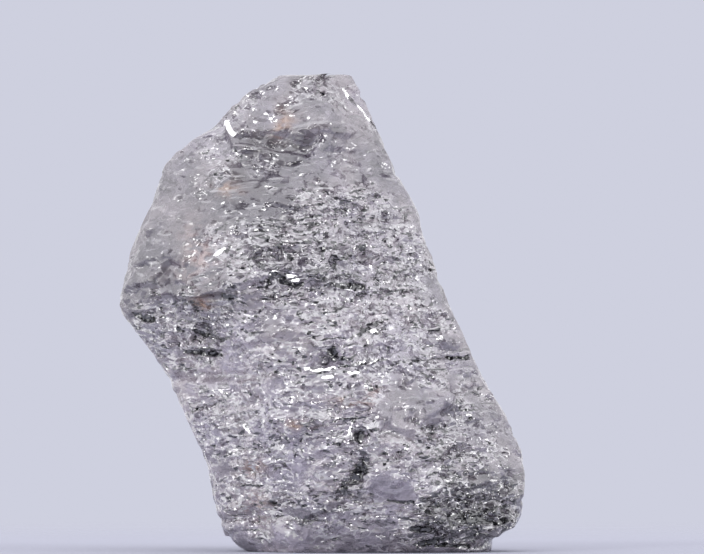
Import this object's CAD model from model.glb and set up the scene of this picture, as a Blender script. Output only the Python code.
import math

import bmesh
import bpy
import numpy as np
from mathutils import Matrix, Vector


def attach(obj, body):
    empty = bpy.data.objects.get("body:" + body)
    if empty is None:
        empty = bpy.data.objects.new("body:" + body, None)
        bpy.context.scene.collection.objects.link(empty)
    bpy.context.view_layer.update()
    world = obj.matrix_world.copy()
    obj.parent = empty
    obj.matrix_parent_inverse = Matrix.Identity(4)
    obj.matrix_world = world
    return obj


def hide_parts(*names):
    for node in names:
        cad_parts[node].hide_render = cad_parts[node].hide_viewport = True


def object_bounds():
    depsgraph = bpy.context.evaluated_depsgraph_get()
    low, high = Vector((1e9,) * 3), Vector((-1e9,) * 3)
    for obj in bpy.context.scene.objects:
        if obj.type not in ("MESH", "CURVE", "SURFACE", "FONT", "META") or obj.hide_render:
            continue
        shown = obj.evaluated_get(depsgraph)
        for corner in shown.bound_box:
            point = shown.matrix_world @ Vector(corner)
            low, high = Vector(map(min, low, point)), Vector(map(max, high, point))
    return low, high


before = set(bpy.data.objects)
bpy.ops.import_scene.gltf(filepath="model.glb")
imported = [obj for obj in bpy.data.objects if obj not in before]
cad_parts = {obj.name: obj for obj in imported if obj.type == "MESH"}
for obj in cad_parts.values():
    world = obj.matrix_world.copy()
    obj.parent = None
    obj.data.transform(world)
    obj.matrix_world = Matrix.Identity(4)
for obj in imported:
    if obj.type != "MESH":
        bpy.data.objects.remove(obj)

mm = 0.001
cadLow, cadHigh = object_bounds()  # the CAD model's box, before anything is added
print("frame loaded")


# helpers for node trees

def addNode(tree, kind, settings=None, inputs=None):
    made = tree.nodes.new(kind)
    for name, value in (settings or {}).items():
        setattr(made, name, value)
    for name, value in (inputs or {}).items():
        plug(tree, value, made.inputs[name])
    return made


def plug(tree, value, socket):
    if isinstance(value, bpy.types.NodeSocket):
        tree.links.new(value, socket)
    else:
        socket.default_value = value


def maths(tree, operation, first, second=0.0, clamp=False):
    settings = {"operation": operation, "use_clamp": clamp}
    return addNode(tree, "ShaderNodeMath", settings, {0: first, 1: second}).outputs[0]


def chained(tree, operation, values):
    result = values[0]
    for value in values[1:]:
        result = maths(tree, operation, result, value)
    return result


def summed(tree, *values):
    return chained(tree, "ADD", values)


def times(tree, *values):
    return chained(tree, "MULTIPLY", values)


def largest(tree, *values):
    return chained(tree, "MAXIMUM", values)


def restOf(tree, value):
    return maths(tree, "SUBTRACT", 1.0, value)


def aroundZero(tree, value):
    return maths(tree, "SUBTRACT", value, 0.5)


def vectors(tree, operation, first, second=(0.0, 0.0, 0.0)):
    made = addNode(tree, "ShaderNodeVectorMath", {"operation": operation}, {0: first})
    plug(tree, second, made.inputs["Scale" if operation == "SCALE" else 1])
    return made.outputs["Value" if operation in ("DOT_PRODUCT", "LENGTH") else "Vector"]


# a random colour as a vector that points any way
def tossOf(tree, colour):
    return vectors(tree, "SUBTRACT", colour, (0.5, 0.5, 0.5))


def partOf(tree, colour, index):
    return addNode(tree, "ShaderNodeSeparateXYZ", None, {0: colour}).outputs[index]


def eased(tree, value, low, high, toLow=0.0, toHigh=1.0):
    inputs = {"Value": value, "From Min": low, "From Max": high, "To Min": toLow, "To Max": toHigh}
    settings = {"interpolation_type": "SMOOTHSTEP"}
    return addNode(tree, "ShaderNodeMapRange", settings, inputs).outputs["Result"]


def noiseAt(tree, vector, perMm, detail=2.0, roughness=0.5):
    inputs = {"Vector": vector, "Scale": perMm, "Detail": detail, "Roughness": roughness}
    return addNode(tree, "ShaderNodeTexNoise", None, inputs).outputs  # 0 is the value, 1 the colour


def cellsAt(tree, vector, perMm=1.0, settings=None):
    return addNode(tree, "ShaderNodeTexVoronoi", settings, {"Vector": vector, "Scale": perMm}).outputs


def bandsAt(tree, along, feature="F1"):
    settings = {"voronoi_dimensions": "1D", "feature": feature}
    return addNode(tree, "ShaderNodeTexVoronoi", settings, {"W": along, "Scale": 1.0}).outputs


def addInputs(tree, values):
    for name, value in values.items():
        kind = "NodeSocketVector" if isinstance(value, tuple) else "NodeSocketFloat"
        tree.interface.new_socket(name, in_out="INPUT", socket_type=kind).default_value = value


# camera: level with the middle of the picture, as far off as a macro lens stands

picture = {
    "width": 704,  # pixels
    "height": 554,
    "stoneColumn": 322.0,  # the column of pixels that x = 0 falls on
    "groundRow": 551.0,
    "stoneRows": 478.0,  # the stone's height in pixels
    "distance": 0.300,
    "lookDown": 0.4,  # degrees
    "sensorWidth": 36.0,  # mm
    "clip": (0.01, 10.0),
}


def makeCamera():
    perPixel = (cadHigh.z - cadLow.z) / picture["stoneRows"]
    lookAt = Vector((
        (picture["width"] / 2 - picture["stoneColumn"]) * perPixel,
        0.0,
        (picture["groundRow"] - picture["height"] / 2) * perPixel,
    ))
    lift = math.radians(picture["lookDown"])
    back = Vector((0.0, -math.cos(lift), math.sin(lift)))
    camera = bpy.data.cameras.new("camera")
    camera.sensor_width = picture["sensorWidth"]
    camera.lens = camera.sensor_width * picture["distance"] / (picture["width"] * perPixel)
    camera.clip_start, camera.clip_end = picture["clip"]
    obj = bpy.data.objects.new("camera", camera)
    obj.location = lookAt + back * picture["distance"]
    obj.rotation_mode = "QUATERNION"
    obj.rotation_quaternion = (-back).to_track_quat("-Z", "Y")
    bpy.context.scene.collection.objects.link(obj)
    bpy.context.scene.camera = obj


makeCamera()
print("camera set")


# the stone's surface: the CAD form, with the fine relief that a broken crystal has

stoneSurface = {
    "grain": 0.025,  # mm between the points that the relief is worked in
    "soften": 8,  # passes of smoothing before it
    "softenBy": 0.5,
    "mostFaces": 190000,
    "sharpAngle": 30.0,  # degrees
    "backBroken": 0.40,  # how broken the back is
    "backPatchy": 1.1,  # how much that changes over it
    "sidesCalm": 0.35,  # how much less broken the sides are
    "sidesFrom": 1.4,
    "sidesSteep": 2.2,
    "sidesRagged": 0.4,
    "edgeRelief": 0.3,  # the share of the relief where the surface is seen edge on
    "edgeSteep": 1.6,
    "carved": 0.6,  # how much is cut of the depths given for pits and grooves
    "pitsSunk": 0.45,  # how much less a pit darkens than a groove as deep
    "crestAt": 0.28,  # the raised edge at the top, in mm
    "crestHalfWidth": 0.26,
    "crestRise": 0.11,
    "crestFrom": 7.3,
    "crestFade": 0.4,
    "crestTop": 7.94,
    "crestEase": 0.05,
    "relief": {  # the inputs of the Geometry Nodes tree, with lengths in mm
        "flatness": 2.3,  # how many times wider than tall a chip is
        "brokenAll": 0.30,  # how broken the stone is everywhere
        "brokenFull": 1.05,
        "leastRough": 0.10,
        "ragged": 2.4,  # how much the edges of a broken place wander
        "raggedPerMm": 2.0,
        "warp": 0.45,
        "warpPerMm": 1.3,
        "standsOut": 0.85,  # a cell with a tone above this stands out, and the others are set in
        "chipSize": 0.28,
        "chipDepth": 0.020,
        "chipLean": 0.20,
        "chipSeed": (3.0, 5.1, 1.8),
        "flakeSize": 0.12,
        "flakeDepth": 0.014,
        "flakeLean": 0.30,
        "flakeSeed": (11.0, 18.7, 6.6),
        "sheetSpacing": 0.16,  # growth sheets seen edge on
        "sheetDepth": 0.016,
        "sheetStandsOut": 0.80,
        "sheetSteps": 1.5,
        "pitSize": 0.26,
        "pitDepth": 0.05,
        "pitRim": 0.42,
        "pitFloor": 0.12,
        "pitsWhereBroken": 0.30,
        "pitsFewer": 0.14,
        "rippleDepth": 0.025,
        "ripplePerMm": 1.6,
        "groundFade": 0.08,  # the relief dies out towards the ground and near the top
        "topStart": 7.75,
        "topPits": 7.80,
        "topEnd": 7.95,
        "topShare": 0.2,
        "mostOut": 0.01,
        "cloudPerMm": 1.1,
        "patchesPerMm": 1.4,
        "patchSeed": (4.0, 8.0, 2.0),
    },
}
sheetNormal = (-0.13, 0.05, 0.99)
streakNormal = (0.82, 0.0, -0.57)

# places on the front: x, z, half the width and half the height in mm, and an amount

# how broken the surface is
brokenFront = {
    "main ledge": (0.25, 5.05, 1.70, 1.05, 0.95),
    "below it": (0.45, 3.87, 1.45, 0.50, 0.8),
    "left shoulder": (-2.33, 3.75, 1.00, 0.55, 0.85),
    "crack": (0.13, 3.18, 2.20, 0.22, 0.5),
    "lower left": (-1.45, 2.10, 1.00, 0.42, 0.5),
    "pit chain": (0.57, 1.56, 0.45, 0.90, 0.9),
    "right of the pits": (1.95, 1.44, 0.80, 0.60, 0.6),
    "foot": (2.35, 0.52, 1.10, 0.50, 1.0),
    "right of the ledge": (1.81, 3.78, 0.50, 0.42, 0.5),
    "low on the left": (-1.08, 0.98, 0.71, 0.88, 0.45),
    "left of the dome": (-1.71, 6.46, 0.50, 0.59, 0.25),
    "lower half": (0.30, 1.90, 2.60, 1.70, 0.38),
    "dome": (-0.45, 7.40, 0.90, 0.35, 0.15),
    "slanting streaks": (-1.62, 5.03, 0.30, 0.45, 0.5),
}
# how much less broken it is
calmFront = {
    "left flank": (-2.46, 5.46, 0.60, 0.80, 0.7),
    "dome": (-0.20, 6.70, 1.10, 0.55, 0.6),
    "right of the crack": (1.50, 2.50, 0.60, 0.50, 0.6),
    "left of the ledge": (-1.25, 5.55, 0.50, 0.60, 0.45),
    "middle": (-0.60, 3.74, 0.35, 0.28, 0.7),
    "right of the pits, low": (1.14, 1.06, 0.30, 0.36, 0.7),
}
# dark pits, where the amount is the depth in mm
pitsFront = {
    "middle": (0.19, 3.36, 0.16, 0.15, 0.14),
    "slanting": (0.81, 3.80, 0.15, 0.07, 0.10),
    "right": (1.62, 3.87, 0.06, 0.06, 0.09),
    "chain, top": (0.66, 1.93, 0.09, 0.16, 0.13),
    "chain, middle": (0.62, 1.41, 0.15, 0.17, 0.15),
    "chain, low": (0.43, 1.06, 0.08, 0.15, 0.13),
    "chain, end": (-0.03, 0.69, 0.08, 0.10, 0.10),
    "right, low": (2.21, 1.36, 0.06, 0.06, 0.09),
    "shoulder corner": (-3.00, 3.91, 0.15, 0.06, 0.08),
    "shoulder": (-2.00, 3.70, 0.14, 0.07, 0.08),
    "right of the shoulder": (-1.58, 4.22, 0.11, 0.09, 0.10),
    "ledge specks": (0.38, 5.65, 0.16, 0.12, 0.10),
}
# grooves: from x, z to x, z, half the width, and the depth
groovesFront = {
    "ledge, left": (-0.85, 4.64, -0.62, 4.59, 0.027, 0.07),
    "ledge, middle": (-0.69, 4.54, -0.32, 4.47, 0.030, 0.09),
    "ledge, far left": (-1.12, 4.44, -0.90, 4.44, 0.025, 0.06),
    "ledge, upper": (-0.23, 4.60, 0.10, 4.60, 0.027, 0.07),
    "ledge, right": (0.25, 4.45, 0.69, 4.45, 0.037, 0.09),
    "under the ledge": (-0.17, 4.42, -0.02, 4.42, 0.022, 0.05),
    "below the ledge": (-1.02, 4.23, -0.72, 4.28, 0.022, 0.05),
    "above the ledge": (-0.22, 5.49, -0.03, 5.49, 0.023, 0.06),
    "crack, end": (2.10, 3.26, 2.44, 3.25, 0.027, 0.09),
    "crack, thin": (1.37, 3.18, 2.10, 3.25, 0.020, 0.05),
    "slant": (0.65, 3.67, 0.94, 3.85, 0.030, 0.07),
    "groove on the left": (-2.23, 2.33, -1.67, 2.53, 0.023, 0.05),
    "groove under it": (-2.04, 2.19, -1.77, 2.29, 0.020, 0.04),
    "foot, upper left": (1.10, 0.87, 1.52, 0.82, 0.025, 0.06),
    "foot, upper": (1.67, 0.89, 1.84, 0.84, 0.025, 0.06),
    "foot, left": (1.66, 0.75, 1.87, 0.67, 0.028, 0.07),
    "foot, thin": (2.09, 0.87, 2.59, 0.87, 0.018, 0.04),
    "foot, middle": (2.13, 0.65, 2.26, 0.65, 0.030, 0.07),
    "foot, right": (2.48, 0.50, 2.83, 0.52, 0.032, 0.08),
    "foot, far right": (2.88, 0.49, 3.08, 0.55, 0.030, 0.08),
    "foot, low left": (1.62, 0.50, 1.97, 0.49, 0.023, 0.05),
    "foot, low": (2.36, 0.20, 2.71, 0.35, 0.025, 0.06),
    "pits, low right": (2.31, 0.64, 2.66, 0.58, 0.060, 0.14),
    "foot, under": (1.88, 0.10, 2.46, 0.10, 0.030, 0.08),
    "foot, corner": (1.50, 0.38, 1.84, 0.37, 0.050, 0.10),
    "foot, low corner": (1.66, 0.11, 1.90, 0.18, 0.045, 0.10),
    "shoulder, outer": (-3.15, 3.95, -2.85, 3.87, 0.030, 0.09),
    "shoulder, inner": (-2.11, 3.68, -1.69, 3.56, 0.033, 0.08),
    "under the shoulder": (-2.31, 3.33, -1.71, 3.30, 0.033, 0.08),
    "beside the shoulder": (-1.67, 4.28, -1.49, 4.15, 0.033, 0.07),
}
# bright edges: from x, z to x, z, half the width, and how white they are
brightFront = {
    "ledge": (-0.84, 4.69, -0.42, 4.59, 0.028, 1.0),
    "ledge, second": (-0.60, 4.55, -0.38, 4.52, 0.026, 1.0),
    "crack": (0.52, 3.15, 0.80, 3.19, 0.050, 1.0),
    "crack, right": (0.80, 3.17, 1.08, 3.24, 0.030, 1.0),
    "crack, left": (-0.27, 3.08, 0.19, 3.08, 0.038, 1.0),
    "crack, low": (0.45, 3.03, 0.63, 3.01, 0.025, 1.0),
    "under the crack": (0.02, 2.94, 0.18, 2.98, 0.028, 1.0),
    "beside the slant": (0.44, 3.56, 0.60, 3.66, 0.028, 0.9),
    "right of the slant": (0.83, 3.72, 0.94, 3.67, 0.032, 1.0),
    "top right": (0.37, 7.74, 0.92, 7.05, 0.024, 1.0),
    "top right, upper": (0.42, 7.64, 0.51, 7.53, 0.035, 1.0),
    "left of the dome": (-1.61, 7.17, -1.47, 6.98, 0.045, 1.0),
    "dome, right": (0.35, 6.56, 0.53, 6.55, 0.024, 1.0),
    "above the pits": (0.44, 1.96, 0.48, 2.08, 0.028, 1.0),
    "lower left": (-1.32, 2.12, -1.22, 2.02, 0.028, 1.0),
    "shoulder": (-1.80, 4.97, -1.64, 5.09, 0.028, 1.0),
    "shoulder streak": (-1.77, 4.74, -1.47, 5.07, 0.018, 0.5),
    "upper shoulder streak": (-1.81, 5.00, -1.44, 5.34, 0.018, 0.5),
}
# facets: x, z, half the width, half the height, and how far turned and tipped, in degrees
facetsFront = {
    "top": (-0.25, 7.80, 0.10, 0.10, -19, 21),
    "under the slant": (0.77, 3.55, 0.09, 0.11, -19, 21),
}
# how much lighter the body is, or darker below 0
toneFront = {
    "hollow under the dome": (-0.47, 6.68, 0.70, 0.22, -0.45),
    "main ledge": (-0.10, 4.90, 1.30, 0.60, -0.22),
    "middle of the ledge": (-0.02, 4.90, 0.32, 0.55, -0.35),
    "upper right of the ledge": (1.10, 5.60, 0.28, 0.35, -0.35),
    "foot of the ledge": (0.60, 4.52, 0.38, 0.14, -0.50),
    "right of the middle": (0.80, 4.98, 0.45, 0.28, 0.20),
    "top of the ledge": (0.35, 5.62, 0.30, 0.22, 0.25),
    "under the hollow": (-0.70, 5.85, 1.00, 0.60, -0.45),
    "right of the hollow": (0.50, 6.60, 0.45, 0.40, 0.30),
    "middle, under the hollow": (-0.40, 6.15, 0.38, 0.25, 0.30),
    "left of the ledge": (-2.40, 4.95, 0.80, 0.50, -0.10),
    "end of the ledge": (-0.70, 4.80, 0.45, 0.45, -0.25),
    "upper end of the ledge": (-1.20, 5.65, 0.45, 0.60, -0.20),
    "right of the slant": (1.20, 3.85, 0.75, 0.48, 0.60),
    "left edge, middle": (-2.45, 2.95, 0.40, 0.35, 0.50),
    "right of the pits": (2.35, 1.45, 0.60, 0.50, -0.45),
    "above the foot": (1.20, 0.85, 0.50, 0.35, 0.30),
    "middle of the foot": (-0.42, 0.80, 0.40, 0.30, -0.35),
    "beside the pits": (1.20, 1.50, 0.45, 0.60, 0.25),
    "upper left": (-1.90, 5.80, 1.50, 1.60, -0.15),
    "dome": (-0.20, 7.00, 1.20, 0.90, -0.06),
    "middle left": (-1.40, 2.90, 0.90, 0.55, 0.50),
    "low, middle": (-0.40, 1.40, 1.10, 0.60, 0.32),
    "right of the ledge": (1.80, 4.60, 0.60, 0.90, -0.15),
    "right side, low": (2.10, 2.60, 0.70, 1.00, -0.08),
    "left edge, low": (-1.90, 2.40, 0.60, 0.90, 0.15),
    "left shoulder": (-2.33, 4.20, 1.00, 0.50, -0.40),
    "under the left shoulder": (-1.89, 3.62, 0.42, 0.25, -0.12),
    "foot": (2.58, 0.60, 0.95, 0.60, -1.20),
    "pit chain": (0.57, 1.50, 0.20, 0.60, -0.25),
    "slant": (0.72, 3.62, 0.35, 0.25, 0.30),
    "top right": (0.64, 7.42, 0.40, 0.45, 0.30),
    "lower left": (-1.50, 2.32, 1.10, 0.45, 0.90),
    "low on the left": (-1.62, 1.15, 0.20, 0.35, 0.30),
    "near the ground": (-0.62, 0.32, 0.72, 0.36, 1.50),
    "upper pit": (0.62, 1.95, 0.13, 0.15, -1.3),
    "tall pit": (0.68, 1.40, 0.10, 0.21, -1.9),
    "lower pit": (0.42, 1.07, 0.13, 0.11, -1.9),
    "lowest pit": (-0.03, 0.55, 0.10, 0.15, -1.5),
    "left edge, near the ground": (-1.45, 1.10, 0.35, 0.60, 0.50),
    "left of the dome": (-1.87, 6.79, 0.45, 0.35, 0.25),
}
# stains
rustFront = {
    "dome": (-0.64, 7.15, 0.16, 0.20, 1.0),
    "upper left": (-1.55, 6.05, 0.22, 0.12, 0.7),
    "shoulder": (-2.02, 4.19, 0.16, 0.10, 1.3),
    "middle": (-0.38, 2.15, 0.20, 0.12, 1.0),
    "low on the left": (-1.20, 1.41, 0.22, 0.14, 1.0),
    "curve": (0.49, 2.52, 0.36, 0.08, 1.0),
}
blushFront = {
    "shoulder": (-2.13, 4.97, 0.25, 0.50, 0.9),
    "low on the left": (-1.12, 0.73, 0.30, 0.25, 1.0),
    "curve": (0.75, 2.65, 0.14, 0.20, 0.8),
}


def pointsOf(mesh, what="co"):
    values = np.empty(len(mesh.vertices) * 3, np.float32)
    mesh.vertices.foreach_get(what, values)
    return values.reshape(-1, 3).astype(float)


def setPoints(mesh, points):
    mesh.vertices.foreach_set("co", points.astype(np.float32).ravel())
    mesh.update()


def storeFloats(mesh, name, values):
    mesh.attributes.new(name, "FLOAT", "POINT").data.foreach_set("value", values.astype(np.float32))


# a smooth random wave over the stone, mostly between -1 and 1
def wander(points, perMm, seed, waves=6):
    rng = np.random.default_rng(seed)
    total = np.zeros(len(points))
    for _ in range(waves):
        direction = rng.normal(size=3)
        direction *= perMm * rng.uniform(0.6, 1.7) / np.linalg.norm(direction)
        total += np.sin(2 * math.pi * (points @ direction + rng.random()))
    return 2 * total / waves


def raiseCrest(points):
    aside = (points[:, 0] - stoneSurface["crestAt"]) / stoneSurface["crestHalfWidth"]
    high = np.clip((points[:, 2] - stoneSurface["crestFrom"]) / stoneSurface["crestFade"], 0, 1)
    points[:, 2] += stoneSurface["crestRise"] * np.exp(-aside ** 4) * high
    over = np.maximum(points[:, 2] - stoneSurface["crestTop"], 0)
    ease = stoneSurface["crestEase"]
    points[:, 2] += ease * np.tanh(over / ease) - over


# 1 on the front and 0 on the back, with a border that wanders
def facingFront(points, normals, steep=3.0, ragged=0.5):
    return np.clip(0.5 - steep * normals[:, 1] + ragged * wander(points, perMm=0.8, seed=9), 0, 1)


def placesMask(points, normals, places, edge=2.0, ragged=0.25, raggedUp=0.6):
    across = points[:, 0] + ragged * wander(points, perMm=0.9, seed=1)
    up = points[:, 2] + ragged * raggedUp * wander(points, perMm=1.2, seed=2)
    mask = np.zeros(len(points))
    for x, z, halfWidth, halfHeight, amount in places.values():
        reach = ((across - x) / halfWidth) ** 2 + ((up - z) / halfHeight) ** 2
        mask += amount * np.exp(-reach ** edge)
    return mask * facingFront(points, normals)


def strokesMask(points, normals, strokes, ragged=0.015, raggedUp=0.02):
    across = points[:, 0] + ragged * wander(points, perMm=2.5, seed=5)
    up = points[:, 2] + raggedUp * wander(points, perMm=2.5, seed=6)
    mask = np.zeros(len(points))
    for x, z, toX, toZ, halfWidth, amount in strokes.values():
        length = math.hypot(toX - x, toZ - z)
        alongX, alongZ = (toX - x) / length, (toZ - z) / length
        along = (across - x) * alongX + (up - z) * alongZ
        aside = (up - z) * alongX - (across - x) * alongZ
        past = np.abs(along - length / 2) - length / 2
        reach = (aside / halfWidth) ** 2 + (np.maximum(past, 0) / halfWidth) ** 2
        mask = np.maximum(mask, amount * np.exp(-reach))
    return mask * facingFront(points, normals)


# presses a small plane into the front at each place, and says how flat each point now is
def cutFacets(points, normals, places, reach=1.25, steep=4.0, setIn=0.01):
    flat = np.zeros(len(points))
    front = normals[:, 1] < -0.05
    for x, z, halfWidth, halfHeight, turn, tip in places.values():
        away = np.abs(points[:, 0] - x) / halfWidth + np.abs(points[:, 2] - z) / halfHeight
        near = front & (away < reach)
        turned, tipped = math.radians(turn), math.radians(tip)
        sideways = math.sin(turned) * math.cos(tipped)
        outwards = -math.cos(turned) * math.cos(tipped)
        rise = (points[near, 0] - x) * sideways + (points[near, 2] - z) * math.sin(tipped)
        plane = points[near, 1].mean() - setIn - rise / outwards
        points[near, 1] = np.maximum(points[near, 1], plane)
        flat[near] = np.maximum(flat[near], np.clip(steep * (reach - away[near]), 0, 1))
    return flat


# how broken the surface is: by place on the front, patchy on the back, calmer at the sides
def brokenness(points, normals):
    broken = placesMask(points, normals, brokenFront) - placesMask(points, normals, calmFront)
    patchy = 0.5 + stoneSurface["backPatchy"] * wander(points, perMm=0.22, seed=7)
    broken += stoneSurface["backBroken"] * facingFront(points, -normals) * patchy
    sides = stoneSurface["sidesFrom"] - stoneSurface["sidesSteep"] * np.abs(normals[:, 1])
    sides = np.clip(sides + stoneSurface["sidesRagged"] * wander(points, perMm=0.6, seed=8), 0, 1)
    return broken - stoneSurface["sidesCalm"] * sides


def applyModifiers(obj):
    graph = bpy.context.evaluated_depsgraph_get()
    mesh = bpy.data.meshes.new_from_object(obj.evaluated_get(graph))
    obj.modifiers.clear()
    old = obj.data
    obj.data = mesh
    bpy.data.meshes.remove(old)
    return mesh


def copyOfNode(node, name):
    mesh = bpy.data.meshes.new(name)
    welded = bmesh.new()
    welded.from_mesh(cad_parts[node].data)
    bmesh.ops.remove_doubles(welded, verts=welded.verts, dist=1e-7)
    welded.to_mesh(mesh)
    welded.free()
    obj = bpy.data.objects.new(name, mesh)
    bpy.context.scene.collection.objects.link(obj)
    return obj


def reliefTree():
    tree = bpy.data.node_groups.new("crystalRelief", "GeometryNodeTree")
    tree.interface.new_socket("stone", in_out="INPUT", socket_type="NodeSocketGeometry")
    addInputs(tree, stoneSurface["relief"])
    tree.interface.new_socket("finish", in_out="INPUT", socket_type="NodeSocketMaterial")
    tree.interface.new_socket("stone", in_out="OUTPUT", socket_type="NodeSocketGeometry")
    given = tree.nodes.new("NodeGroupInput").outputs

    def stored(name):
        settings = {"data_type": "FLOAT"}
        return addNode(tree, "GeometryNodeInputNamedAttribute", settings, {"Name": name}).outputs[0]

    # how broken each point is, with ragged edges
    place = vectors(tree, "SCALE", tree.nodes.new("GeometryNodeInputPosition").outputs[0], 1 / mm)
    ragged = aroundZero(tree, noiseAt(tree, place, given["raggedPerMm"], detail=5.0, roughness=0.68)[0])
    rough = summed(tree, stored("broken"), times(tree, ragged, given["ragged"]), given["brokenAll"])
    rough = eased(tree, rough, 0.0, given["brokenFull"], given["leastRough"], 1.0)

    # space bent a little and squashed, so that cells in it are wider than tall
    shift = tossOf(tree, noiseAt(tree, place, given["warpPerMm"], detail=3.0)[1])
    warped = vectors(tree, "ADD", place, vectors(tree, "SCALE", shift, given["warp"]))
    squash = addNode(tree, "ShaderNodeCombineXYZ", None, {0: 1.0, 1: 1.0, 2: given["flatness"]})
    spread = vectors(tree, "MULTIPLY", warped, squash.outputs[0])

    # cells that are each set in by their own depth and lean their own way
    def facets(kind, outline):
        size, depth = given[kind + "Size"], given[kind + "Depth"]
        moved = vectors(tree, "ADD", vectors(tree, "DIVIDE", spread, size), given[kind + "Seed"])
        found = cellsAt(tree, moved, settings={"distance": outline})
        inCell = vectors(tree, "SUBTRACT", moved, found["Position"])
        slope = vectors(tree, "DOT_PRODUCT", inCell, tossOf(tree, found["Color"]))
        tone = partOf(tree, found["Color"], 1)
        step = times(tree, maths(tree, "SUBTRACT", tone, given["standsOut"]), depth)
        return summed(tree, step, times(tree, slope, given[kind + "Lean"], size)), tone

    chip, chipTone = facets("chip", "CHEBYCHEV")
    flake, flakeTone = facets("flake", "EUCLIDEAN")

    # growth sheets of uneven thickness
    level = vectors(tree, "DOT_PRODUCT", warped, sheetNormal)
    level = maths(tree, "DIVIDE", level, given["sheetSpacing"])
    level = summed(tree, level, times(tree, chipTone, given["sheetSteps"]))
    sheetTone = partOf(tree, bandsAt(tree, level)["Color"], 0)
    sheets = maths(tree, "SUBTRACT", sheetTone, given["sheetStandsOut"])
    sheets = times(tree, sheets, given["sheetDepth"])

    # pits, more of them where the stone is broken
    pitted = cellsAt(tree, vectors(tree, "DIVIDE", spread, given["pitSize"]))
    chance = times(tree, rough, given["pitsWhereBroken"])
    chance = summed(tree, partOf(tree, pitted["Color"], 0), chance)
    chosen = maths(tree, "GREATER_THAN", maths(tree, "SUBTRACT", chance, given["pitsFewer"]), 1.0)
    hollow = times(tree, eased(tree, pitted["Distance"], given["pitRim"], given["pitFloor"]), chosen)

    ripple = aroundZero(tree, noiseAt(tree, spread, given["ripplePerMm"], detail=3.0)[0])
    height = times(tree, summed(tree, chip, flake, sheets), rough)
    height = summed(
        tree, height, times(tree, ripple, given["rippleDepth"]),
        times(tree, hollow, given["pitDepth"], -1.0),
    )
    upright = partOf(tree, place, 2)
    height = times(
        tree, height, eased(tree, upright, 0.0, given["groundFade"]),
        eased(tree, upright, given["topEnd"], given["topStart"], given["topShare"], 1.0),
        stored("inward"), restOf(tree, stored("facet")),
    )
    height = maths(tree, "MINIMUM", height, given["mostOut"])

    # the masks that the material reads
    elsewhere = vectors(tree, "ADD", place, given["patchSeed"])
    masks = {
        "rough": rough,
        "height": height,
        "pit": times(tree, hollow, eased(tree, upright, given["topEnd"], given["topPits"])),
        "chipTone": chipTone,
        "flakeTone": flakeTone,
        "cloud": noiseAt(tree, place, given["cloudPerMm"], detail=5.0, roughness=0.6)[0],
        "patches": noiseAt(tree, elsewhere, given["patchesPerMm"])[0],
    }
    shape = given["stone"]
    for name, value in masks.items():
        settings, inputs = {"data_type": "FLOAT"}, {"Geometry": shape, "Name": name, "Value": value}
        shape = addNode(tree, "GeometryNodeStoreNamedAttribute", settings, inputs).outputs[0]
    normal = tree.nodes.new("GeometryNodeInputNormal").outputs[0]
    offset = vectors(tree, "SCALE", normal, times(tree, height, mm))
    inputs = {"Geometry": shape, "Offset": offset}
    shape = addNode(tree, "GeometryNodeSetPosition", None, inputs).outputs[0]
    shape = addNode(tree, "GeometryNodeRealizeInstances", None, {"Geometry": shape}).outputs[0]
    inputs = {"Geometry": shape, "Material": given["finish"]}
    shape = addNode(tree, "GeometryNodeSetMaterial", None, inputs).outputs[0]
    plug(tree, shape, tree.nodes.new("NodeGroupOutput").inputs["stone"])
    return tree


def setInputs(modifier, values):
    for item in modifier.node_group.interface.items_tree:
        if item.item_type == "SOCKET" and item.in_out == "INPUT" and item.name in values:
            modifier[item.identifier] = values[item.name]


# the CAD form in small even faces, softened
def evenStone():
    stone = copyOfNode("rough_diamond", "crystal")
    even = stone.modifiers.new("even", "REMESH")
    even.mode = "VOXEL"
    even.voxel_size = stoneSurface["grain"] * mm
    soft = stone.modifiers.new("soft", "SMOOTH")
    soft.factor = stoneSurface["softenBy"]
    soft.iterations = stoneSurface["soften"]
    applyModifiers(stone)
    return stone


def carveStone(mesh):
    points, normals = pointsOf(mesh) / mm, pointsOf(mesh, "normal")
    inward = stoneSurface["edgeRelief"] + stoneSurface["edgeSteep"] * np.abs(normals[:, 1])
    raiseCrest(points)
    facet = cutFacets(points, normals, facetsFront)
    pits = placesMask(points, normals, pitsFront, edge=1.0, ragged=0.10)
    grooves = strokesMask(points, normals, groovesFront)
    points -= stoneSurface["carved"] * normals * np.maximum(pits, grooves)[:, None]
    masks = {
        "broken": brokenness(points, normals),
        "facet": facet,
        "inward": np.clip(inward, 0, 1),
        "shade": placesMask(points, normals, toneFront),
        "rust": placesMask(points, normals, rustFront, edge=1.0, ragged=0.10),
        "blush": placesMask(points, normals, blushFront, edge=1.0, ragged=0.15),
        "sunk": np.maximum(stoneSurface["pitsSunk"] * pits, grooves),
        "bright": strokesMask(points, normals, brightFront),
    }
    for name, values in masks.items():
        storeFloats(mesh, name, values)
    setPoints(mesh, points * mm)


def makeStone(finish):
    stone = evenStone()
    carveStone(stone.data)
    relief = stone.modifiers.new("relief", "NODES")
    relief.node_group = reliefTree()
    setInputs(relief, {**stoneSurface["relief"], "finish": finish})
    mesh = applyModifiers(stone)
    print("stone relief:", len(mesh.polygons), "faces")

    thin = stone.modifiers.new("thin", "DECIMATE")
    thin.ratio = min(1.0, stoneSurface["mostFaces"] / (2 * len(mesh.polygons)))
    thin.use_collapse_triangulate = True
    mesh = applyModifiers(stone)
    mesh.name = "crystal"
    setPoints(mesh, np.clip(pointsOf(mesh), np.array(cadLow), np.array(cadHigh)))
    mesh.shade_smooth()
    mesh.set_sharp_from_angle(angle=math.radians(stoneSurface["sharpAngle"]))
    print("stone mesh:", len(mesh.polygons), "faces")
    return stone


# the stone's material

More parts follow.
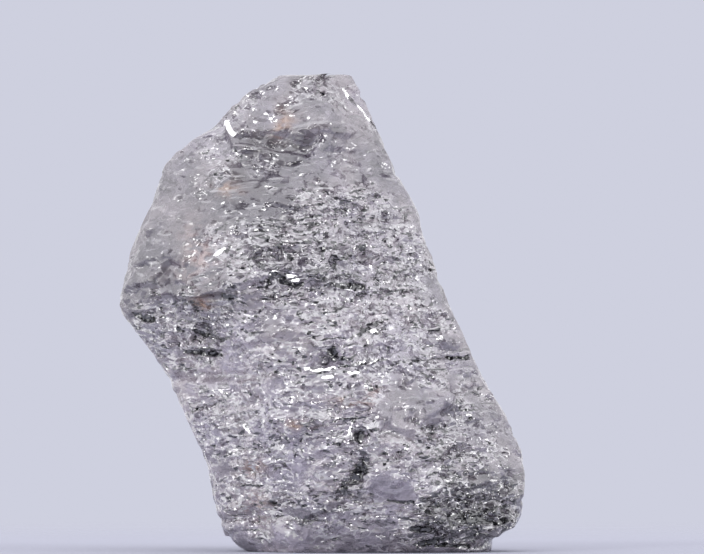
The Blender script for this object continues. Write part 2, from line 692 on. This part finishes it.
crystal = {
    "ior": 2.417,
    "transmission": 0.62,
    "specular": 0.30,
    "absorptionColor": (0.80, 0.80, 0.86, 1.0),
    "absorptionDensity": 160.0,
    "dark": (0.13, 0.113, 0.141, 1.0),  # the body's colour runs from dark to light
    "light": (0.75, 0.705, 0.765, 1.0),
    "violet": (0.95, 0.91, 1.0, 1.0),
    "warm": (1.0, 0.935, 0.94, 1.0),
    "fleck": (1.0, 0.97, 1.0, 1.0),
    "speck": (0.006, 0.006, 0.009, 1.0),
    "rust": (0.68, 0.38, 0.23, 1.0),
    "blush": (0.85, 0.62, 0.58, 1.0),
    "bodyTone": 0.34,  # 0 is dark and 1 light
    "brokenLighter": 0.60,
    "raisedLighter": 2.0,  # for each mm
    "cloudContrast": 1.4,  # how far each pattern moves the tone
    "grainContrast": 0.3,
    "fineContrast": 0.6,
    "flakeContrast": 0.15,
    "chipContrast": 0.3,
    "streakContrast": 0.16,
    "smooth": 0.10,  # roughness, from smooth to frosted
    "frosted": 0.32,
    "speckSmoother": 0.7,
    "shine": 0.7,
    "shineRoughness": 0.07,
    "shineIor": 2.1,
    "warp": 0.15,  # mm
    "warpPerMm": 3.0,
    "squash": (1.0, 1.0, 2.0),  # makes the cells half as tall as they are wide
    "grainPerMm": 5.0,
    "finePerMm": 11.0,
    "sheetsPerMm": 14.0,
    "seamsPerMm": 6.0,
    "streaksPerMm": 9.0,
    "mottlePerMm": 3.5,
    "flecksPerMm": 9.5,
    "fleckSeed": (7.0, 3.0, 5.0),
    "sheetSteps": 1.2,  # how far cells and clouds shift the bands
    "sheetWander": 4.0,
    "seamWander": 3.0,
    "streakWander": 7.0,
    "streakPatches": 4.0,
    "patchShare": 0.8,
    "lineRim": 0.13,  # a line between splinters, in cells from its middle
    "lineFull": 0.04,
    "grainLean": 0.9,  # how far the cells of each pattern lean
    "fineLean": 0.42,
    "sheetLean": 0.5,
    "streakLean": 0.7,
    "glint": (-0.35, 0.0, 0.41, 1.0),  # how a shard that catches the light leans
    "toKey": (-0.31, -0.88, 0.36),  # the way a bright edge faces
    "markFrom": 1.10,  # a cell above this starts to be a fleck or a speck
    "markFull": 1.13,
    "fleckShade": 0.15,  # how much the tone of a place adds to its flecks
    "speckShade": -0.18,
    "calmShare": 0.40,  # how much a calm place has of the fine marks
    "calmLean": 0.60,  # and of their lean
    "calmShine": 0.25,  # and of the shine
}


def mixed(tree, factor, first, second, blend="MIX"):
    settings = {"data_type": "RGBA", "blend_type": blend}
    made = addNode(tree, "ShaderNodeMix", settings, {"Factor": factor})
    plug(tree, first, made.inputs[6])
    plug(tree, second, made.inputs[7])
    return made.outputs[2]


# the masks on the mesh, and the place in mm
def readStone(tree):
    names = (
        "rough", "height", "pit", "chipTone", "flakeTone", "cloud", "patches",
        "facet", "shade", "rust", "blush", "sunk", "bright",
    )
    at = {}
    for name in names:
        settings = {"attribute_name": name}
        at[name] = addNode(tree, "ShaderNodeAttribute", settings).outputs["Fac"]
    place = tree.nodes.new("ShaderNodeTexCoord").outputs["Object"]
    at["place"] = vectors(tree, "SCALE", place, 1 / mm)
    return at


# splinters, sheets and streaks too fine for the mesh
def addCells(tree, at):
    place, cloud, patches = at["place"], at["cloud"], at["patches"]
    shift = tossOf(tree, noiseAt(tree, place, crystal["warpPerMm"], detail=1.0)[1])
    warped = vectors(tree, "ADD", place, vectors(tree, "SCALE", shift, crystal["warp"]))
    spread = vectors(tree, "MULTIPLY", warped, crystal["squash"])
    at["spread"] = spread
    at["mottle"] = noiseAt(tree, spread, crystal["mottlePerMm"], detail=1.0)[1]

    # each splinter has a tone and leans its own way
    grain = cellsAt(tree, spread, crystal["grainPerMm"])["Color"]
    fine = cellsAt(tree, spread, crystal["finePerMm"])["Color"]
    at["grainToss"], at["fineToss"] = tossOf(tree, grain), tossOf(tree, fine)
    at["grainTone"], at["fineTone"] = partOf(tree, grain, 0), partOf(tree, fine, 0)
    at["shard"] = partOf(tree, fine, 1)

    # thin growth sheets, seen as steps
    along = vectors(tree, "DOT_PRODUCT", place, sheetNormal)
    level = summed(
        tree, times(tree, along, crystal["sheetsPerMm"]),
        times(tree, at["grainTone"], crystal["sheetSteps"]),
        times(tree, cloud, crystal["sheetWander"]),
    )
    at["along"] = along
    at["sheetTone"] = partOf(tree, bandsAt(tree, level)["Color"], 0)

    # 1 where the stone is broken, and calmShare where it is calm
    mask = summed(tree, at["rough"], times(tree, aroundZero(tree, patches), crystal["patchShare"]))
    at["cellShare"] = eased(tree, mask, 0.1, 0.9, crystal["calmShare"], 1.0)

    # slanting growth streaks, where the stone is calm
    slant = vectors(tree, "DOT_PRODUCT", place, streakNormal)
    slant = summed(
        tree, times(tree, slant, crystal["streaksPerMm"]),
        times(tree, cloud, crystal["streakWander"]),
        times(tree, patches, crystal["streakPatches"]),
    )
    streakTone = partOf(tree, bandsAt(tree, slant)["Color"], 0)
    calm = eased(tree, at["cellShare"], 0.75, 0.4)
    at["streaks"] = times(tree, aroundZero(tree, streakTone), calm)


# short strokes along the growth sheets
def seams(tree, at, seed, stretch, share):
    band = times(tree, at["along"], crystal["seamsPerMm"])
    band = summed(tree, band, times(tree, at["cloud"], crystal["seamWander"]), seed)
    edge = bandsAt(tree, band, "DISTANCE_TO_EDGE")["Distance"]
    shifted = vectors(tree, "MULTIPLY", at["place"], stretch)
    shifted = vectors(tree, "ADD", shifted, (seed, seed, seed))
    gate = eased(tree, noiseAt(tree, shifted, 1.0, detail=1.0)[0], share, share + 0.04)
    return times(tree, eased(tree, edge, 0.16, 0.06), gate)


# where the stone is white and glints, and where it is nearly black
def addFlecksAndSpecks(tree, at):
    cellShare, spread, shade = at["cellShare"], at["spread"], at["shade"]
    markFrom, markFull = crystal["markFrom"], crystal["markFull"]

    # thin lines between splinters, some dark and some bright
    settings = {"feature": "DISTANCE_TO_EDGE"}
    border = cellsAt(tree, spread, crystal["grainPerMm"], settings)["Distance"]
    border = eased(tree, border, crystal["lineRim"], crystal["lineFull"])
    lineDark = times(tree, border, eased(tree, partOf(tree, at["mottle"], 0), 0.59, 0.64))
    lineLight = times(tree, border, eased(tree, partOf(tree, at["mottle"], 1), 0.50, 0.58))

    # whole cells, more of them in the broken places
    clustered = summed(
        tree, eased(tree, cellShare, 0.4, 1.0, -0.10, 0.27),
        times(tree, aroundZero(tree, at["patches"]), 0.20),
        times(tree, aroundZero(tree, partOf(tree, at["mottle"], 2)), 0.35),
    )
    elsewhere = vectors(tree, "ADD", spread, crystal["fleckSeed"])
    flecks = noiseAt(tree, elsewhere, crystal["flecksPerMm"], detail=1.0, roughness=0.6)[1]
    flecks = partOf(tree, flecks, 0)
    light = summed(tree, at["shard"], clustered, times(tree, shade, crystal["fleckShade"]))
    light = times(tree, eased(tree, light, markFrom, markFull), eased(tree, flecks, 0.40, 0.48))
    dark = times(tree, shade, crystal["speckShade"])
    dark = summed(tree, restOf(tree, at["shard"]), clustered, dark)
    dark = times(tree, eased(tree, dark, markFrom, markFull), eased(tree, flecks, 0.60, 0.52))

    at["light"] = largest(
        tree, light,
        times(tree, seams(tree, at, seed=21.0, stretch=(2.0, 2.0, 8.0), share=0.58), cellShare),
        times(tree, lineLight, eased(tree, cellShare, 0.4, 0.9, 0.12, 1.0)),
        eased(tree, at["bright"], 0.3, 0.7),
    )
    at["dark"] = largest(
        tree, dark,
        times(tree, seams(tree, at, seed=4.0, stretch=(1.4, 1.4, 6.0), share=0.60), cellShare),
        eased(tree, times(tree, at["pit"], flecks), 0.36, 0.44),
        eased(tree, times(tree, at["sunk"], flecks), 0.014, 0.024),
        times(tree, lineDark, cellShare, 0.8),
    )


def sparse(tree, value):
    return maths(tree, "POWER", times(tree, aroundZero(tree, value), 2.0), 3.0)


def crystalColor(tree, at):
    cloud, patches, cellShare = at["cloud"], at["patches"], at["cellShare"]

    # the tone: soft clouds with cells, chips and streaks in them
    cells = summed(
        tree, times(tree, sparse(tree, at["fineTone"]), crystal["fineContrast"]),
        times(tree, aroundZero(tree, at["grainTone"]), crystal["grainContrast"]),
    )
    tone = summed(
        tree, times(tree, aroundZero(tree, cloud), crystal["cloudContrast"]),
        times(tree, cells, cellShare),
        times(tree, aroundZero(tree, at["flakeTone"]), at["rough"], crystal["flakeContrast"]),
        times(tree, aroundZero(tree, at["chipTone"]), cellShare, crystal["chipContrast"]),
        times(tree, at["streaks"], crystal["streakContrast"]),
        times(tree, at["height"], crystal["raisedLighter"]),
        times(tree, at["rough"], crystal["brokenLighter"]),
        at["shade"],
    )
    tone = maths(tree, "ADD", tone, crystal["bodyTone"], clamp=True)

    # its tint, from violet to warm
    color = mixed(tree, tone, crystal["dark"], crystal["light"])
    warmth = summed(tree, patches, times(tree, aroundZero(tree, cloud), 0.6))
    tint = mixed(tree, eased(tree, warmth, 0.35, 0.65), crystal["violet"], crystal["warm"])
    color = mixed(tree, 1.0, color, tint, "MULTIPLY")

    # stains, then flecks and specks
    stained = eased(tree, partOf(tree, at["mottle"], 2), 0.35, 0.6)
    for stain in ("rust", "blush"):
        amount = maths(tree, "MULTIPLY", at[stain], stained, clamp=True)
        color = mixed(tree, amount, color, crystal[stain])
    color = mixed(tree, at["light"], color, crystal["fleck"])
    return mixed(tree, at["dark"], color, crystal["speck"])


def crystalRoughness(tree, at):
    frost = summed(tree, at["grainTone"], times(tree, aroundZero(tree, at["cloud"]), 1.5))
    frost = eased(tree, frost, 0.2, 1.0, crystal["smooth"], crystal["frosted"])
    return times(tree, frost, restOf(tree, times(tree, at["dark"], crystal["speckSmoother"])))


def inWorld(tree, vector):
    settings = {"vector_type": "VECTOR", "convert_from": "OBJECT", "convert_to": "WORLD"}
    return addNode(tree, "ShaderNodeVectorTransform", settings, {0: vector}).outputs[0]


# each cell is flat and leans its own way, flecks lean to the light, and specks don't lean
def crystalFacing(tree, at):
    lean = vectors(
        tree, "ADD", vectors(tree, "SCALE", at["grainToss"], crystal["grainLean"]),
        vectors(tree, "SCALE", at["fineToss"], crystal["fineLean"]),
    )
    steps = times(tree, aroundZero(tree, at["sheetTone"]), crystal["sheetLean"])
    lean = vectors(tree, "ADD", lean, vectors(tree, "SCALE", sheetNormal, steps))
    share = eased(tree, at["cellShare"], 0.4, 1.0, crystal["calmLean"], 1.0)
    lean = vectors(tree, "SCALE", lean, times(tree, share, restOf(tree, at["facet"])))
    slanting = vectors(tree, "SCALE", streakNormal, times(tree, at["streaks"], crystal["streakLean"]))
    lean = mixed(tree, at["light"], vectors(tree, "ADD", lean, slanting), crystal["glint"])
    lean = vectors(tree, "SCALE", lean, restOf(tree, at["dark"]))
    normal = tree.nodes.new("ShaderNodeNewGeometry").outputs["Normal"]
    facing = vectors(tree, "ADD", normal, inWorld(tree, lean))
    lit = eased(tree, at["bright"], 0.3, 0.6)
    return vectors(tree, "NORMALIZE", mixed(tree, lit, facing, inWorld(tree, crystal["toKey"])))


def crystalMaterial():
    material = bpy.data.materials.new("grey_crystal")
    material.use_nodes = True
    tree = material.node_tree
    surface = tree.nodes["Principled BSDF"].inputs
    surface["IOR"].default_value = crystal["ior"]
    surface["Transmission Weight"].default_value = crystal["transmission"]
    surface["Specular IOR Level"].default_value = crystal["specular"]
    surface["Coat Roughness"].default_value = crystal["shineRoughness"]
    surface["Coat IOR"].default_value = crystal["shineIor"]

    at = readStone(tree)
    addCells(tree, at)
    addFlecksAndSpecks(tree, at)
    plug(tree, crystalColor(tree, at), surface["Base Color"])
    plug(tree, crystalRoughness(tree, at), surface["Roughness"])
    facing = crystalFacing(tree, at)
    plug(tree, facing, surface["Normal"])
    plug(tree, facing, surface["Coat Normal"])
    calmShine = crystal["shine"] * crystal["calmShine"]
    shine = eased(tree, at["cellShare"], 0.4, 1.0, calmShine, crystal["shine"])
    plug(tree, times(tree, restOf(tree, at["dark"]), shine), surface["Coat Weight"])

    inside = addNode(tree, "ShaderNodeVolumeAbsorption", None, {
        "Color": crystal["absorptionColor"], "Density": crystal["absorptionDensity"],
    })
    plug(tree, inside.outputs[0], tree.nodes["Material Output"].inputs["Volume"])
    return material


stone = makeStone(crystalMaterial())
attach(stone, "root")
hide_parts("rough_diamond")
print("stone made")


# floor, surroundings and lights

studio = {
    "floorRadius": 0.025,
    "floorSides": 96,
    "floorSolid": 0.25,  # the share of its radius within which it isn't see-through
    "floorColor": (0.43, 0.435, 0.505, 1.0),
    "floorRoughness": 0.9,
    "backdrop": (0.617, 0.630, 0.737, 1.0),
    "glowColor": (0.953, 0.955, 1.0, 1.0),
    "toCamera": 0.06,  # how bright the surroundings are in the cone round the camera
    "coneEdge": (-0.88, -0.58),  # y of the directions between which the cone ends
    "ring": 1.35,  # at the sides
    "above": 0.2,  # overhead, added
    "aboveEdge": (-0.2, 0.9),
    "behind": 1.1,
    "behindEdge": (-0.10, 0.60),
}
# each light: place in metres, its size, and its power in watts
lights = {
    "key": ((-0.10, -0.10, 0.12), (0.042, 0.042), 0.050),
    "right": ((0.14, -0.08, 0.06), (0.04, 0.05), 0.036),
    "left": ((-0.15, -0.09, 0.02), (0.04, 0.04), 0.024),
    "front": ((0.03, -0.17, 0.07), (0.03, 0.03), 0.018),
    "low": ((-0.02, -0.17, 0.008), (0.05, 0.012), 0.024),
}


def floorMaterial():
    material = bpy.data.materials.new("paleFloor")
    material.use_nodes = True
    tree = material.node_tree
    surface = tree.nodes["Principled BSDF"].inputs
    surface["Base Color"].default_value = studio["floorColor"]
    surface["Roughness"].default_value = studio["floorRoughness"]
    surface["Specular IOR Level"].default_value = 0.0
    reach = vectors(tree, "LENGTH", tree.nodes.new("ShaderNodeTexCoord").outputs["Object"])
    radius = studio["floorRadius"]
    plug(tree, eased(tree, reach, radius, radius * studio["floorSolid"]), surface["Alpha"])
    return material


def makeFloor():
    mesh = bpy.data.meshes.new("floor")
    disc = bmesh.new()
    sides, radius = studio["floorSides"], studio["floorRadius"]
    bmesh.ops.create_circle(disc, cap_ends=True, segments=sides, radius=radius)
    disc.to_mesh(mesh)
    disc.free()
    mesh.materials.append(floorMaterial())
    floor = bpy.data.objects.new("floor", mesh)
    floor.location.z = cadLow.z
    bpy.context.scene.collection.objects.link(floor)
    return floor


def makeWorld():
    world = bpy.data.worlds.new("studio")
    bpy.context.scene.world = world
    world.use_nodes = True
    tree = world.node_tree
    tree.nodes.clear()
    direction = tree.nodes.new("ShaderNodeTexCoord").outputs["Generated"]
    y, z = partOf(tree, direction, 1), partOf(tree, direction, 2)
    glow = summed(
        tree,
        eased(tree, y, *studio["coneEdge"], studio["toCamera"], studio["ring"]),
        eased(tree, y, *studio["behindEdge"], 0.0, studio["behind"] - studio["ring"]),
        eased(tree, z, *studio["aboveEdge"], 0.0, studio["above"]),
    )
    inputs = {"Color": studio["glowColor"], "Strength": glow}
    lit = addNode(tree, "ShaderNodeBackground", None, inputs)
    plain = addNode(tree, "ShaderNodeBackground", None, {"Color": studio["backdrop"]})
    seen = tree.nodes.new("ShaderNodeLightPath").outputs["Is Camera Ray"]
    inputs = {0: seen, 1: lit.outputs[0], 2: plain.outputs[0]}
    both = addNode(tree, "ShaderNodeMixShader", None, inputs)
    plug(tree, both.outputs[0], tree.nodes.new("ShaderNodeOutputWorld").inputs["Surface"])


def makeLight(name, place, size, watts):
    light = bpy.data.lights.new(name, "AREA")
    light.shape = "RECTANGLE"
    light.size, light.size_y = size
    light.energy = watts
    obj = bpy.data.objects.new(name, light)
    obj.location = place
    obj.rotation_mode = "QUATERNION"
    middle = Vector((0.0, 0.0, (cadLow.z + cadHigh.z) / 2))
    obj.rotation_quaternion = (middle - obj.location).to_track_quat("-Z", "Y")
    bpy.context.scene.collection.objects.link(obj)


makeFloor()
makeWorld()
for name, (place, size, watts) in lights.items():
    makeLight(name, place, size, watts)
bpy.context.scene.view_settings.view_transform = "Standard"
print("floor and lights set")
